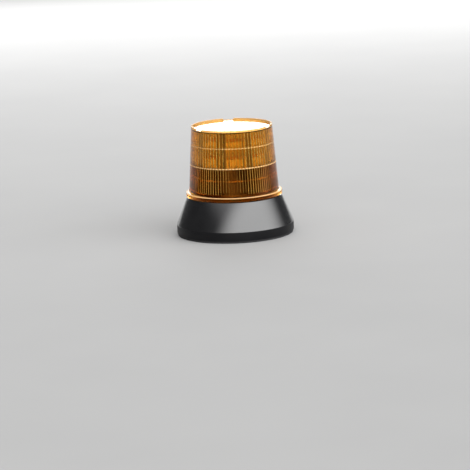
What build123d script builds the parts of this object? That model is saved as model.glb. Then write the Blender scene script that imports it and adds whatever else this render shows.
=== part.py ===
from build123d import *
from math import atan, cos, hypot, radians, sin, tan
import os

# Amber LED strobe beacon for a vehicle roof, in millimetres, +Z up.
# The origin is the centre of the gasket's underside, which rests on the roof.
# The lens turns on the base's bayonet collar; everything else is fixed to the base.

# Base housing
base_rim_top = 14.0
deck_top = 50.0
deck_thickness = 4.0
deck_lip = 1.6
base_wall = 3.0
base_floor = 5.5
base_foot_round = 0.8
deck_edge_round = 1.0
deck_hole_radius = 10.0
gusset_count = 12
gusset_thickness = 2.0
gusset_depth = 14.0
gusset_reach = 7.0
rib_root = 1.0

# Roof gasket
gasket_thickness = 2.5
gasket_setback = 1.2
gasket_inner_land = 1.5

# Three-bolt roof mount
mount_bolt_circle = 130.0
mount_bolt_count = 3
mount_first_angle = 90.0
mount_boss_radius = 8.0
mount_boss_cap = 2.5
mount_edge = 2.0
insert_radius = 5.0
insert_length = 11.5
insert_bore_radius = 3.4
insert_waist_depth = 0.6
insert_waist_length = 2.0
gasket_bolt_hole_radius = 4.5

# Bayonet collar and its lugs
collar_gap = 4.0
collar_wall = 6.0
collar_height = 8.0
lug_count = 4
lug_reach = 2.7
lug_height = 3.0
lug_rise = 1.5
lug_half_angle = 8.0
lock_turn = 30.0

# Lens
lens_flange_overhang = 1.2
lens_flange_height = 5.0
lens_flange_top_round = 1.8
lens_flange_bottom_round = 0.5
lens_root_round = 1.2
lens_foot_wall = 3.4
lens_top_radius = 51.8
lens_rim_width = 1.6
lens_rim_height = 2.4
lens_rim_outer_round = 0.5
lens_rim_inner_round = 0.4
lens_top_wall = 1.8
lens_wall = 2.2
lens_rib_depth = 1.2
lower_rib_count = 100
upper_rib_count = 80
drain_notch_count = 3
drain_notch_width = 13.0
drain_notch_depth = 1.8

# Lens seal
seal_inset = 3.5
seal_width = 2.2
seal_groove_depth = 2.0

# Bottom cover
cover_margin = 0.5
cover_thickness = 2.5
cover_land = 2.5
cover_screw_count = 4
cover_screw_angle = 45.0
cover_boss_radius = 4.2
cover_screw_radius = 1.5
cover_screw_length = 12.0
cover_screw_head_radius = 2.8
cover_screw_head_height = 1.0

# Cable grommet and breather vent in the bottom cover
grommet_bore_radius = 3.0
grommet_neck_radius = 7.9
grommet_flange_radius = 10.0
grommet_flange_taper = 1.0
grommet_shoulder_radius = 6.0
grommet_nose_radius = 5.0
grommet_nose_height = 8.0
underside_gap = 0.7
vent_x = 30.0
vent_y = -18.0
vent_radius = 6.0
vent_stem_radius = 3.9
vent_hole_radius = 0.8

# Driver board and what is soldered to it
board_edge_gap = 1.1
board_thickness = 1.6
board_drop = 19.4
board_post_inset = 6.5
board_post_radius = 3.8
board_post_count = 4
board_screw_radius = 1.4
board_screw_length = 10.0
board_screw_head_radius = 2.8
board_screw_head_height = 2.0
capacitor_radius = 5.0
capacitor_length = 13.0
capacitor_inset = 4.0
capacitor_angles = [145.0, 180.0, 215.0]
inductor_radius = 9.0
inductor_hole_radius = 3.5
inductor_height = 8.0
inductor_inset = 1.0
inductor_angles = [-30.0, 30.0]
chip_size = (7.0, 5.5, 1.8)
chip_inset = 11.0
chip_angles = [75.0, 100.0, 125.0]
terminal_size = (18.0, 9.0, 11.0)
terminal_inset = 11.0
terminal_hole_radius = 1.7
terminal_hole_depth = 6.0
terminal_pitch = 5.5
lead_radius = 1.0
lead_spacing = 6.0

# Pedestal drum under the LED tower
drum_radius = 40.0
drum_wall = 2.5
drum_height = 22.0
drum_foot_reach = 4.0
drum_foot_height = 2.5
drum_foot_round = 1.5
drum_plate = 3.0
drum_hole_radius = 12.0
link_board_overhang = 1.0
pedestal_screw_count = 4
pedestal_screw_radius = 2.0
pedestal_screw_cap = 4.0
pedestal_screw_head_radius = 3.5
pedestal_screw_head_height = 2.6
pedestal_boss_radius = 4.5
pedestal_boss_sink = 0.8
socket_width = 10.0
socket_depth = 5.6
socket_height = 4.6
socket_floor = 1.4

# LED tower
facet_count = 8
carrier_height = 15.6
lower_tier_height = 25.0
upper_tier_height = 21.6
carrier_lip_margin = 1.0
carrier_lip_round = 0.5
carrier_plate = 3.0
core_apothem = 28.9
core_bore_radius = 16.0
fin_thickness = 2.0
fin_bead_radius = 3.0
fin_bead_gap = 0.5
led_board_thickness = 1.6
led_tail_width = 8.0
reflector_depth = 9.0
reflector_end_wall = 1.0
reflector_lip = 0.8
reflector_back_wall = 1.2
trough_fullness = 0.72
peg_radius = 1.2
peg_length = 1.3
peg_edge = 1.2
led_size = 3.4
led_height = 1.5
led_chamfer = 0.5
leds_per_row = 4
led_end_gap = 1.0
led_window_gap = 0.6
cap_overlap = 3.5
cap_thickness = 2.6
tie_screw_count = 4
tie_screw_radius = 2.0
tie_screw_head_radius = 4.0
tie_screw_head_height = 2.0
tie_screw_rise = 3.4

# Clearances
lens_lift = 0.5
turning_gap = 0.3
lug_side_angle = 0.4
seat_gap = 0.3
screw_hole_gap = 0.2
thread_gap = 0.05
insert_gap = 0.05

# Facets
facet_turn = 360 / facet_count
corner_turn = facet_turn / 2
facet_angles = [-90 + facet_turn * facet for facet in range(facet_count)]
corner = radians(corner_turn)

# Heights, from the roof up
base_bottom = gasket_thickness
cover_top = base_bottom + cover_thickness
base_inside_bottom = base_bottom + base_floor
cover_screw_seat = base_bottom + cover_screw_head_height + screw_hole_gap
mount_boss_top = base_bottom + insert_length + mount_boss_cap
deck_bottom = deck_top - deck_thickness
board_top = deck_bottom - board_drop
board_bottom = board_top - board_thickness
collar_top = deck_top + collar_height
lens_bottom = deck_top + lens_lift
lens_flange_top = lens_bottom + lens_flange_height
lens_bore_top = collar_top + lens_lift
lug_bottom = lens_bottom + lug_rise
seal_height = seal_groove_depth + lens_lift - turning_gap
drum_top = deck_top + drum_height
link_board_top = drum_top + board_thickness
tower_bottom = link_board_top + carrier_height
tier_split = tower_bottom + lower_tier_height
tower_top = tier_split + upper_tier_height
cap_top = tower_top - seat_gap
cap_bottom = cap_top - cap_thickness
lens_underside = tower_top + seat_gap
lens_floor = lens_underside + lens_top_wall
lens_height = lens_floor + lens_rim_height
pedestal_screw_end = tower_bottom - pedestal_screw_cap
tie_screw_end = link_board_top + tie_screw_rise

# Radii, from the roof bolts inwards and from the pedestal drum outwards
drum_foot_radius = drum_radius + drum_foot_reach
collar_inner_radius = drum_foot_radius + collar_gap
collar_radius = collar_inner_radius + collar_wall
mount_radius = mount_bolt_circle / 2
base_radius = mount_radius + mount_boss_radius + mount_edge
gasket_radius = base_radius - gasket_setback
cover_recess_radius = mount_radius - mount_boss_radius - cover_margin
cover_radius = cover_recess_radius - seat_gap
cover_hole_radius = cover_recess_radius - cover_land
cover_screw_circle_radius = cover_hole_radius - cover_boss_radius
gasket_inner_radius = cover_recess_radius + gasket_inner_land
board_radius = cover_screw_circle_radius - cover_boss_radius - board_edge_gap
board_post_circle_radius = board_radius - board_post_inset
parts_circle_radius = board_post_circle_radius - board_screw_head_radius
terminal_y = terminal_inset - board_post_circle_radius
seal_radius = collar_radius + seal_inset
seal_groove_side = seal_width / 2 + seat_gap
base_cone_top_radius = seal_radius + seal_groove_side + deck_lip
lens_bore_radius = collar_radius + turning_gap
lens_bottom_radius = lens_bore_radius + lens_foot_wall
lens_flange_radius = base_cone_top_radius + lens_flange_overhang
link_board_radius = drum_radius + link_board_overhang
pedestal_screw_circle_radius = drum_radius - drum_wall + pedestal_boss_sink - pedestal_boss_radius
pedestal_screw_angle = corner_turn

# Tower section, from the core's flats outwards
fin_half_width = (fin_thickness / 2 + seat_gap) / cos(corner)
led_board_front = core_apothem + led_board_thickness
led_board_width = 2 * (core_apothem * tan(corner) - fin_half_width)
reflector_front = led_board_front + reflector_depth
reflector_width = 2 * (led_board_front * tan(corner) - fin_half_width)
trough_length = reflector_width - 2 * reflector_end_wall
led_pitch = (trough_length - led_size - 2 * led_end_gap) / (leds_per_row - 1)
reflector_window = led_size + 2 * led_window_gap
fin_bead_circle_radius = (reflector_width / 2 + fin_bead_radius + fin_bead_gap) / sin(corner)
carrier_lip_radius = hypot(reflector_front, reflector_width / 2) + carrier_lip_margin
peg_spacing = led_board_width - 2 * (peg_radius + screw_hole_gap + peg_edge)
cap_apothem = led_board_front + cap_overlap
tie_screw_circle_radius = (core_bore_radius + core_apothem) / 2
tie_screw_angle = corner_turn + facet_turn

# Slopes of the base's cone and of the lens
cone_slope = (base_radius - base_cone_top_radius) / (deck_top - base_rim_top)
wall_offset = base_wall / cos(atan(cone_slope))
lens_taper = (lens_bottom_radius - lens_top_radius) / (lens_height - lens_flange_top)


# Shared shapes
def disc(radius, bottom, top, x=0, y=0):
    """A round plug standing between two heights."""
    standing = (Align.CENTER, Align.CENTER, Align.MIN)
    return Pos(x, y, bottom) * Cylinder(radius, top - bottom, align=standing)


def block(x_range, y_range, z_range):
    """A box given by its lowest and highest values."""
    low = [edges[0] for edges in (x_range, y_range, z_range)]
    size = [edges[1] - edges[0] for edges in (x_range, y_range, z_range)]
    return Pos(*low) * Box(*size, align=(Align.MIN, Align.MIN, Align.MIN))


def turned(*corners):
    """A solid of revolution; each corner is radius, height and its own rounding."""
    points = [(radius, height) for radius, height, _ in corners]
    outline = FilletPolyline(*points, radius=[rounding for _, _, rounding in corners], close=True)
    return revolve(Plane.XZ * make_face(outline), Axis.Z)


def arc_bar(inner, outer, start, end, bottom, top):
    """A bar bent round the Z axis from one angle to another."""
    section = block((inner, outer), (0, 1), (bottom, top)).faces().sort_by(Axis.Y)[0]
    return Rot(0, 0, start) * revolve(section, Axis.Z, revolution_arc=end - start)


def around(count, radius, first=0.0):
    """Places spread evenly round the Z axis."""
    return [turned_to(first + 360 / count * step, radius) for step in range(count)]


def turned_to(angle, radius):
    """A place on a circle round the Z axis."""
    return Rot(0, 0, angle) * Pos(radius, 0, 0)


def octagon_plate(apothem, bottom, top):
    """An octagonal plate with a flat on each facet direction."""
    corner_radius = apothem / cos(radians(corner_turn))
    corners = [
        (corner_radius * cos(radians(angle + corner_turn)), corner_radius * sin(radians(angle + corner_turn)))
        for angle in facet_angles
    ]
    return Pos(0, 0, bottom) * extrude(make_face(Polyline(*corners, close=True)), top - bottom)


def lens_radius(height):
    """Outer radius of the lens wall at a height."""
    return lens_bottom_radius - (height - lens_flange_top) * lens_taper


def skirt_inside(height):
    """Inner radius of the base's cone at a height."""
    return base_radius - (height - base_rim_top) * cone_slope - wall_offset


def fused(solids):
    """One shape from several that meet."""
    body = solids[0]
    for solid in solids[1:]:
        body = body + solid
    return body


# Roof gasket: a flat rubber ring with three bolt holes
def make_mounting_gasket():
    ring = disc(gasket_radius, 0, gasket_thickness) - disc(gasket_inner_radius, 0, gasket_thickness)
    for place in around(mount_bolt_count, mount_radius, mount_first_angle):
        ring -= place * disc(gasket_bolt_hole_radius, 0, gasket_thickness)
    return ring


# Base housing: conical moulded skirt, deck, bayonet collar, bosses and gussets
def make_base_housing():
    shell = turned(
        (cover_recess_radius, base_bottom, 0),
        (base_radius, base_bottom, base_foot_round),
        (base_radius, base_rim_top, 0),
        (base_cone_top_radius, deck_top, deck_edge_round),
        (seal_radius + seal_groove_side, deck_top, 0),
        (seal_radius + seal_groove_side, deck_top - seal_groove_depth, 0),
        (seal_radius - seal_groove_side, deck_top - seal_groove_depth, 0),
        (seal_radius - seal_groove_side, deck_top, 0),
        (collar_radius, deck_top, 0),
        (collar_radius, collar_top, 0),
        (collar_inner_radius, collar_top, 0),
        (collar_inner_radius, deck_top, 0),
        (deck_hole_radius, deck_top, 0),
        (deck_hole_radius, deck_bottom, 0),
        (skirt_inside(deck_bottom), deck_bottom, 0),
        (skirt_inside(base_rim_top), base_rim_top, 0),
        (base_radius - base_wall, base_inside_bottom, 0),
        (cover_hole_radius, base_inside_bottom, 0),
        (cover_hole_radius, cover_top, 0),
        (cover_recess_radius, cover_top, 0),
    )
    gusset_low = deck_bottom - gusset_depth
    gusset_tip = skirt_inside(deck_bottom) - gusset_reach
    gusset_outline = Polyline(
        (gusset_tip, deck_bottom + rib_root),
        (gusset_tip, deck_bottom),
        (skirt_inside(gusset_low), gusset_low),
        (base_radius, gusset_low),
        (base_radius, deck_bottom + rib_root),
        close=True,
    )
    gusset = extrude(Plane.XZ * make_face(gusset_outline), gusset_thickness / 2, both=True)
    mount_boss = disc(mount_boss_radius, cover_top, mount_boss_top)
    cover_boss = disc(cover_boss_radius, cover_top, deck_bottom + rib_root)
    cover_boss += block(
        (0, base_radius - cover_screw_circle_radius),
        (-gusset_thickness / 2, gusset_thickness / 2),
        (cover_top, deck_bottom + rib_root),
    )
    inner_places = [
        (gusset, around(gusset_count, 0)),
        (mount_boss, around(mount_bolt_count, mount_radius, mount_first_angle)),
        (cover_boss, around(cover_screw_count, cover_screw_circle_radius, cover_screw_angle)),
    ]
    ribs_and_bosses = fused([place * feature for feature, places in inner_places for place in places])
    cover_places = around(cover_screw_count, cover_screw_circle_radius, cover_screw_angle)
    board_places = around(board_post_count, board_post_circle_radius, tie_screw_angle)
    board_post = disc(board_post_radius, board_top, deck_bottom + rib_root)
    housing = fused([shell, ribs_and_bosses & skirt_middle()] + [place * board_post for place in board_places])
    insert_pocket = disc(insert_radius + insert_gap, base_bottom, base_bottom + insert_length + seat_gap)
    for place in around(mount_bolt_count, mount_radius, mount_first_angle):
        housing -= place * insert_pocket
    cover_pilot = disc(cover_screw_radius + thread_gap, cover_top, cover_top + cover_screw_length)
    for place in cover_places:
        housing -= place * cover_pilot
    board_pilot = disc(board_screw_radius + thread_gap, board_top, board_top + board_screw_length)
    for place in board_places:
        housing -= place * board_pilot
    screw_clearance = pedestal_screw_radius + screw_hole_gap
    for place in around(pedestal_screw_count, pedestal_screw_circle_radius, pedestal_screw_angle):
        housing -= place * disc(screw_clearance, deck_bottom, deck_top)
    return housing - bayonet_tracks()


def skirt_middle():
    """The space inside the middle of the skirt's wall, which trims what grows from it."""
    half_wall = base_wall / 2
    return turned(
        (0, cover_top, 0),
        (base_radius - half_wall, cover_top, 0),
        (base_radius - half_wall, base_rim_top, 0),
        (skirt_inside(deck_bottom + rib_root) + half_wall, deck_bottom + rib_root, 0),
        (0, deck_bottom + rib_root, 0),
    )


def bayonet_tracks():
    """The four J-shaped paths that the lens lugs follow in the collar."""
    floor_radius = lens_bore_radius - lug_reach - turning_gap
    outside = collar_radius + lens_wall
    track_bottom = lug_bottom - turning_gap
    track_top = lug_bottom + lug_height + turning_gap
    half = lug_half_angle + lug_side_angle
    track = arc_bar(floor_radius, outside, -half, lock_turn + half, track_bottom, track_top)
    entry = arc_bar(floor_radius, outside, lock_turn - half, lock_turn + half, track_bottom, collar_top)
    path = track + entry
    return [place * path for place in around(lug_count, 0)]


# Brass inserts that take the roof bolts
def make_threaded_inserts():
    bore = disc(insert_bore_radius, 0, insert_length)
    waist_middle = insert_length / 2
    waist = disc(insert_radius, waist_middle - insert_waist_length / 2, waist_middle + insert_waist_length / 2)
    waist -= disc(insert_radius - insert_waist_depth, 0, insert_length)
    insert = Pos(0, 0, base_bottom) * (disc(insert_radius, 0, insert_length) - waist - bore)
    places = around(mount_bolt_count, mount_radius, mount_first_angle)
    return Compound([(place * insert).solid() for place in places])


# Square-section rubber ring between deck and lens flange
def make_lens_seal():
    bottom = deck_top - seal_groove_depth
    outer = disc(seal_radius + seal_width / 2, bottom, bottom + seal_height)
    return outer - disc(seal_radius - seal_width / 2, bottom, bottom + seal_height)


# Bottom cover: a round plate let into the base from below
def make_bottom_cover():
    cover = disc(cover_radius, base_bottom, cover_top)
    for place in around(cover_screw_count, cover_screw_circle_radius, cover_screw_angle):
        cover -= place * disc(cover_screw_radius + screw_hole_gap, base_bottom, cover_top)
        cover -= place * disc(cover_screw_head_radius + screw_hole_gap, base_bottom, cover_screw_seat)
    cover -= disc(grommet_neck_radius + insert_gap, base_bottom, cover_top)
    return cover - disc(vent_stem_radius + insert_gap, base_bottom, cover_top, vent_x, vent_y)


def make_bottom_cover_screws():
    screw = disc(cover_screw_head_radius, cover_screw_seat - cover_screw_head_height, cover_screw_seat)
    screw += disc(cover_screw_radius, cover_screw_seat, cover_top + cover_screw_length - seat_gap)
    places = around(cover_screw_count, cover_screw_circle_radius, cover_screw_angle)
    return Compound([(place * screw).solid() for place in places])


# Rubber grommet that the supply cable comes in through
def make_cable_grommet():
    inner_top = cover_top + base_bottom - underside_gap
    return turned(
        (grommet_bore_radius, underside_gap, 0),
        (grommet_flange_radius, underside_gap, 0),
        (grommet_flange_radius, base_bottom, 0),
        (grommet_neck_radius, base_bottom, 0),
        (grommet_neck_radius, cover_top, 0),
        (grommet_flange_radius, cover_top, 0),
        (grommet_flange_radius - grommet_flange_taper, inner_top, 0),
        (grommet_shoulder_radius, inner_top, 0),
        (grommet_nose_radius, inner_top + grommet_nose_height, 0),
        (grommet_bore_radius, inner_top + grommet_nose_height, 0),
    )


def make_breather_vent():
    plug = disc(vent_radius, underside_gap, base_bottom, vent_x, vent_y)
    plug += disc(vent_stem_radius, base_bottom, cover_top, vent_x, vent_y)
    return plug - disc(vent_hole_radius, underside_gap, cover_top, vent_x, vent_y)


# Driver board, hung from the deck's posts
def make_driver_board():
    board = disc(board_radius, board_bottom, board_top)
    for place in around(board_post_count, board_post_circle_radius, tie_screw_angle):
        board -= place * disc(board_screw_radius + screw_hole_gap, board_bottom, board_top)
    return board


def make_board_screws():
    screw = disc(board_screw_head_radius, board_bottom - board_screw_head_height, board_bottom)
    screw += disc(board_screw_radius, board_bottom, board_top + board_screw_length - seat_gap)
    places = around(board_post_count, board_post_circle_radius, tie_screw_angle)
    return Compound([(place * screw).solid() for place in places])


def make_board_capacitors():
    radius = parts_circle_radius - capacitor_radius - capacitor_inset
    can = disc(capacitor_radius, board_bottom - capacitor_length, board_bottom)
    return Compound([(turned_to(angle, radius) * can).solid() for angle in capacitor_angles])


def make_board_inductors():
    radius = parts_circle_radius - inductor_radius - inductor_inset
    coil = disc(inductor_radius, board_bottom - inductor_height, board_bottom)
    coil -= disc(inductor_hole_radius, board_bottom - inductor_height, board_bottom)
    return Compound([(turned_to(angle, radius) * coil).solid() for angle in inductor_angles])


def make_board_chips():
    length, width, height = chip_size
    chip = block((-width / 2, width / 2), (-length / 2, length / 2), (board_bottom - height, board_bottom))
    radius = board_post_circle_radius - chip_inset
    return Compound([(turned_to(angle, radius) * chip).solid() for angle in chip_angles])


def make_terminal_block():
    length, width, height = terminal_size
    front = terminal_y - width / 2
    body = block((-length / 2, length / 2), (front, front + width), (board_bottom - height, board_bottom))
    middle = board_bottom - height / 2
    for step in (-1, 0, 1):
        mouth = Pos(step * terminal_pitch, front, middle) * Rot(90, 0, 0)
        body -= mouth * Cylinder(terminal_hole_radius, 2 * terminal_hole_depth)
    return body


# The two supply wires from the driver board up to the link board
def make_supply_leads():
    sides = (-lead_spacing / 2, lead_spacing / 2)
    return Compound([disc(lead_radius, board_top, drum_top, x).solid() for x in sides])


# Pedestal drum on the deck, under the LED tower
def make_pedestal_drum():
    shell = turned(
        (drum_foot_radius, deck_top, 0),
        (drum_foot_radius, deck_top + drum_foot_height, 0),
        (drum_radius, deck_top + drum_foot_height, drum_foot_round),
        (drum_radius, drum_top, 0),
        (drum_hole_radius, drum_top, 0),
        (drum_hole_radius, drum_top - drum_plate, 0),
        (drum_radius - drum_wall, drum_top - drum_plate, 0),
        (drum_radius - drum_wall, deck_top, 0),
    )
    places = around(pedestal_screw_count, pedestal_screw_circle_radius, pedestal_screw_angle)
    drum = fused([shell] + [place * disc(pedestal_boss_radius, deck_top, drum_top) for place in places])
    for place in places:
        drum -= place * disc(pedestal_screw_radius + screw_hole_gap, deck_top, drum_top)
    return drum


def make_pedestal_screws():
    head_bottom = deck_bottom - pedestal_screw_head_height
    screw = disc(pedestal_screw_head_radius, head_bottom, deck_bottom)
    screw += disc(pedestal_screw_radius, deck_bottom, pedestal_screw_end)
    places = around(pedestal_screw_count, pedestal_screw_circle_radius, pedestal_screw_angle)
    return Compound([(place * screw).solid() for place in places])


# Link board: carries the sockets that the LED boards plug into
def make_link_board():
    board = disc(link_board_radius, drum_top, link_board_top)
    for place in around(pedestal_screw_count, pedestal_screw_circle_radius, pedestal_screw_angle):
        board -= place * disc(pedestal_screw_radius + screw_hole_gap, drum_top, link_board_top)
    return board


def make_board_sockets():
    middle = core_apothem + led_board_thickness / 2
    body = block(
        (middle - socket_depth / 2, middle + socket_depth / 2),
        (-socket_width / 2, socket_width / 2),
        (link_board_top, link_board_top + socket_height),
    )
    slot = block(
        (core_apothem - thread_gap, led_board_front + thread_gap),
        (-led_tail_width / 2 - thread_gap, led_tail_width / 2 + thread_gap),
        (link_board_top + socket_floor, link_board_top + socket_height),
    )
    socket = body - slot
    return Compound([(Rot(0, 0, angle) * socket).solid() for angle in facet_angles])


# Tower carrier: the drum's upper half, with the lip that the reflectors stand on
def make_tower_carrier():
    plate_bottom = tower_bottom - carrier_plate
    shell = turned(
        (drum_radius - drum_wall, link_board_top, 0),
        (drum_radius, link_board_top, 0),
        (drum_radius, plate_bottom, 0),
        (carrier_lip_radius, plate_bottom, 0),
        (carrier_lip_radius, tower_bottom, carrier_lip_round),
        (core_bore_radius, tower_bottom, 0),
        (core_bore_radius, plate_bottom, 0),
        (drum_radius - drum_wall, plate_bottom, 0),
    )
    pedestal_places = around(pedestal_screw_count, pedestal_screw_circle_radius, pedestal_screw_angle)
    tie_places = around(tie_screw_count, tie_screw_circle_radius, tie_screw_angle)
    boss = disc(pedestal_boss_radius, link_board_top, tower_bottom)
    carrier = fused([shell] + [place * boss for place in pedestal_places + tie_places])
    for place in pedestal_places:
        pilot_top = pedestal_screw_end + seat_gap
        carrier -= place * disc(pedestal_screw_radius + thread_gap, link_board_top, pilot_top)
    for place in tie_places:
        carrier -= place * disc(tie_screw_radius + thread_gap, link_board_top, tower_bottom)
    tail_slot = block(
        (core_apothem - seat_gap, led_board_front + seat_gap),
        (-led_tail_width / 2 - seat_gap, led_tail_width / 2 + seat_gap),
        (plate_bottom, tower_bottom),
    )
    for angle in facet_angles:
        carrier -= Rot(0, 0, angle) * tail_slot
    return carrier


# Tower core: an octagonal extrusion with a beaded cooling fin at each corner
def fins(bottom, top):
    """The eight corner fins between two heights."""
    fin = block(
        (core_apothem, fin_bead_circle_radius),
        (-fin_thickness / 2, fin_thickness / 2),
        (bottom, top),
    )
    bead = disc(fin_bead_radius, bottom, top, fin_bead_circle_radius)
    return [place * (fin + bead) for place in around(facet_count, 0, corner_turn)]


def make_tower_core():
    core = fused([octagon_plate(core_apothem, tower_bottom, cap_bottom)] + fins(tower_bottom, cap_bottom))
    core -= disc(core_bore_radius, tower_bottom, cap_bottom)
    for place in around(tie_screw_count, tie_screw_circle_radius, tie_screw_angle):
        core -= place * disc(tie_screw_radius + screw_hole_gap, tower_bottom, cap_bottom)
    return core


# One LED board with its plug-in tail, on the facet that faces +X
def make_led_board():
    board = block(
        (core_apothem, led_board_front), (-led_board_width / 2, led_board_width / 2), (tower_bottom, cap_bottom)
    )
    board += block(
        (core_apothem, led_board_front),
        (-led_tail_width / 2, led_tail_width / 2),
        (link_board_top + socket_floor, tower_bottom),
    )
    for side in (-1, 1):
        board -= peg_place(side) * disc(peg_radius + screw_hole_gap, 0, led_board_thickness)
    return board


def peg_place(side):
    """Where a reflector's peg leaves its back face, with Z of the peg along +X."""
    return Pos(core_apothem, side * peg_spacing / 2, tier_split) * Rot(0, 90, 0)


# One row of LED packages in each tier of a board
def make_leds():
    package = block((0, led_height), (-led_size / 2, led_size / 2), (-led_size / 2, led_size / 2))
    package = chamfer(package.faces().sort_by(Axis.X)[-1].edges(), led_chamfer)
    first = -led_pitch * (leds_per_row - 1) / 2
    packages = []
    for middle in tier_middles():
        for step in range(leds_per_row):
            packages.append((Pos(led_board_front, first + led_pitch * step, middle) * package).solid())
    return packages


def tier_middles():
    return [(tower_bottom + tier_split) / 2, (tier_split + tower_top) / 2]


# One metallised reflector with a curved trough for each tier
def make_reflector():
    half_width = reflector_width / 2
    body = block((led_board_front, reflector_front), (-half_width, half_width), (tower_bottom, tower_top))
    tiers = [(tower_bottom, tier_split), (tier_split, tower_top)]
    for tier, middle in zip(tiers, tier_middles()):
        body -= trough(middle, (tier[1] - tier[0]) / 2 - reflector_lip)
    under_cap = block(
        (led_board_front, cap_apothem + seat_gap), (-half_width, half_width), (cap_bottom, tower_top)
    )
    body -= under_cap
    for side in (-1, 1):
        body += peg_place(side) * disc(peg_radius, led_board_thickness - peg_length, led_board_thickness)
    return body


def trough(middle, half_height):
    """The curved hollow of one tier, open to the front, with its LED window at the back."""
    back = led_board_front + reflector_back_wall
    half_window = reflector_window / 2
    halfway_height = half_window + (half_height - half_window) * trough_fullness
    halfway = (back + reflector_front) / 2
    outline = [
        Line((led_board_front, middle - half_window), (led_board_front, middle + half_window)),
        Line((led_board_front, middle + half_window), (back, middle + half_window)),
        ThreePointArc(
            (back, middle + half_window),
            (halfway, middle + halfway_height),
            (reflector_front, middle + half_height),
        ),
        Line((reflector_front, middle + half_height), (reflector_front, middle - half_height)),
        ThreePointArc(
            (reflector_front, middle - half_height),
            (halfway, middle - halfway_height),
            (back, middle - half_window),
        ),
        Line((back, middle - half_window), (led_board_front, middle - half_window)),
    ]
    return extrude(Plane.XZ * make_face(outline), trough_length / 2, both=True)


# Tower cap: an eight-armed plate that closes core, boards and reflectors
def make_tower_cap():
    cap = fused([octagon_plate(cap_apothem, cap_bottom, cap_top)] + fins(cap_bottom, cap_top))
    for place in around(tie_screw_count, tie_screw_circle_radius, tie_screw_angle):
        cap -= place * disc(tie_screw_radius + screw_hole_gap, cap_bottom, cap_top)
        cap -= place * tie_screw_head(screw_hole_gap)
    return cap


def tie_screw_head(extra):
    """The countersunk head, or with extra its seat."""
    head = Cone(
        tie_screw_radius + extra,
        tie_screw_head_radius + extra,
        tie_screw_head_height,
        align=(Align.CENTER, Align.CENTER, Align.MIN),
    )
    return Pos(0, 0, cap_top - tie_screw_head_height) * head


def make_tower_screws():
    screw = tie_screw_head(0) + disc(tie_screw_radius, tie_screw_end, cap_top - tie_screw_head_height)
    places = around(tie_screw_count, tie_screw_circle_radius, tie_screw_angle)
    return Compound([(place * screw).solid() for place in places])


# Lens: tapered amber dome with ribs inside, a drained rim on top and four lugs
def ribbed_cavity(bottom, top, ribs):
    """The hollow between two heights, fluted so that each rib stands inwards."""
    sections = []
    for height in (bottom, top):
        valley = lens_radius(height) - lens_wall
        points = []
        for step in range(2 * ribs):
            radius = valley - lens_rib_depth * (step % 2)
            turn = radians(180 / ribs * step)
            points.append((radius * cos(turn), radius * sin(turn)))
        sections.append(Pos(0, 0, height) * make_face(Polyline(*points, close=True)))
    return loft(sections, ruled=True)


def make_lens_dome():
    lens = turned(
        (0, lens_bottom, 0),
        (lens_flange_radius, lens_bottom, lens_flange_bottom_round),
        (lens_flange_radius, lens_flange_top, lens_flange_top_round),
        (lens_bottom_radius, lens_flange_top, lens_root_round),
        (lens_top_radius, lens_height, lens_rim_outer_round),
        (lens_top_radius - lens_rim_width, lens_height, lens_rim_inner_round),
        (lens_top_radius - lens_rim_width, lens_floor, 0),
        (0, lens_floor, 0),
    )
    lens -= disc(lens_bore_radius, lens_bottom, lens_bore_top)
    lens -= ribbed_cavity(lens_bore_top, tower_bottom, lower_rib_count)
    lens -= ribbed_cavity(tower_bottom, lens_underside, upper_rib_count)
    notch = block(
        (0, lens_flange_radius),
        (-drain_notch_width / 2, drain_notch_width / 2),
        (lens_height - drain_notch_depth, lens_height + lens_rim_height),
    )
    for place in around(drain_notch_count, 0, mount_first_angle):
        lens -= place * notch
    lug = arc_bar(
        lens_bore_radius - lug_reach,
        lens_bore_radius + lens_wall / 2,
        -lug_half_angle,
        lug_half_angle,
        lug_bottom,
        lug_bottom + lug_height,
    )
    return fused([lens] + [place * lug for place in around(lug_count, 0)])


# Every sub-part by name
nodes = {
    "mounting_gasket": make_mounting_gasket(),
    "base_housing": make_base_housing(),
    "threaded_inserts": make_threaded_inserts(),
    "lens_seal": make_lens_seal(),
    "bottom_cover": make_bottom_cover(),
    "bottom_cover_screws": make_bottom_cover_screws(),
    "cable_grommet": make_cable_grommet(),
    "breather_vent": make_breather_vent(),
    "driver_board": make_driver_board(),
    "board_screws": make_board_screws(),
    "board_capacitors": make_board_capacitors(),
    "board_inductors": make_board_inductors(),
    "board_chips": make_board_chips(),
    "terminal_block": make_terminal_block(),
    "supply_leads": make_supply_leads(),
    "pedestal_drum": make_pedestal_drum(),
    "pedestal_screws": make_pedestal_screws(),
    "link_board": make_link_board(),
    "board_sockets": make_board_sockets(),
    "tower_carrier": make_tower_carrier(),
    "tower_core": make_tower_core(),
    "tower_cap": make_tower_cap(),
    "tower_screws": make_tower_screws(),
    "lens_dome": make_lens_dome(),
}
led_board = make_led_board()
leds = make_leds()
reflector = make_reflector()
for number, angle in enumerate(facet_angles, start=1):
    nodes[f"led_board_{number}"] = Rot(0, 0, angle) * led_board
    nodes[f"leds_{number}"] = Compound([Rot(0, 0, angle) * package for package in leds])
    nodes[f"reflector_{number}"] = Rot(0, 0, angle) * reflector

os.makedirs("parts", exist_ok=True)
for name, shape in nodes.items():
    export_step(shape, f"parts/{name}.step")
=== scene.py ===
from math import atan2, cos, degrees, hypot, pi, radians, sin

import bmesh
import bpy
from mathutils import Matrix, Vector


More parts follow.
